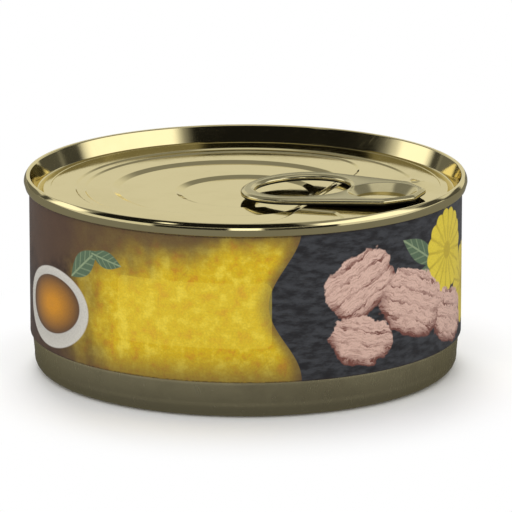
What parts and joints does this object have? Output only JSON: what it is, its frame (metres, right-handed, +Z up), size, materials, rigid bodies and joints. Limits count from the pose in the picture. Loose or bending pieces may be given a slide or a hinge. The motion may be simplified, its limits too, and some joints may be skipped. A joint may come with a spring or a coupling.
{
  "type": "round food can with easy-open lid",
  "caption": "Low round tin for preserved fish, with a printed sleeve, a seamed terraced lid and a riveted ring pull tab.",
  "frame": {"origin": "centre of the circle that the can stands on, at floor level", "axes": "+Z up along the can's axis; -Y towards the middle of the printed front; the tab's mirror plane lies 21 degrees from +X towards -Y"},
  "size_m": [0.0872, 0.0872, 0.0387],
  "materials": {
    "body_metal": "gold-lacquered tinplate, semi-gloss, slightly darker towards the foot",
    "label_print": "smooth printed sleeve with a satin varnish",
    "lid_metal": "gold-lacquered tinplate, polished, with crisp pressed terraces",
    "tab_metal": "gold-lacquered strip, finely brushed, with rolled edges"
  },
  "bodies": {
    "root": {"can_body": "body_metal", "label": "label_print", "lid": "lid_metal", "pull_tab": "tab_metal"}
  },
  "joints": []
}
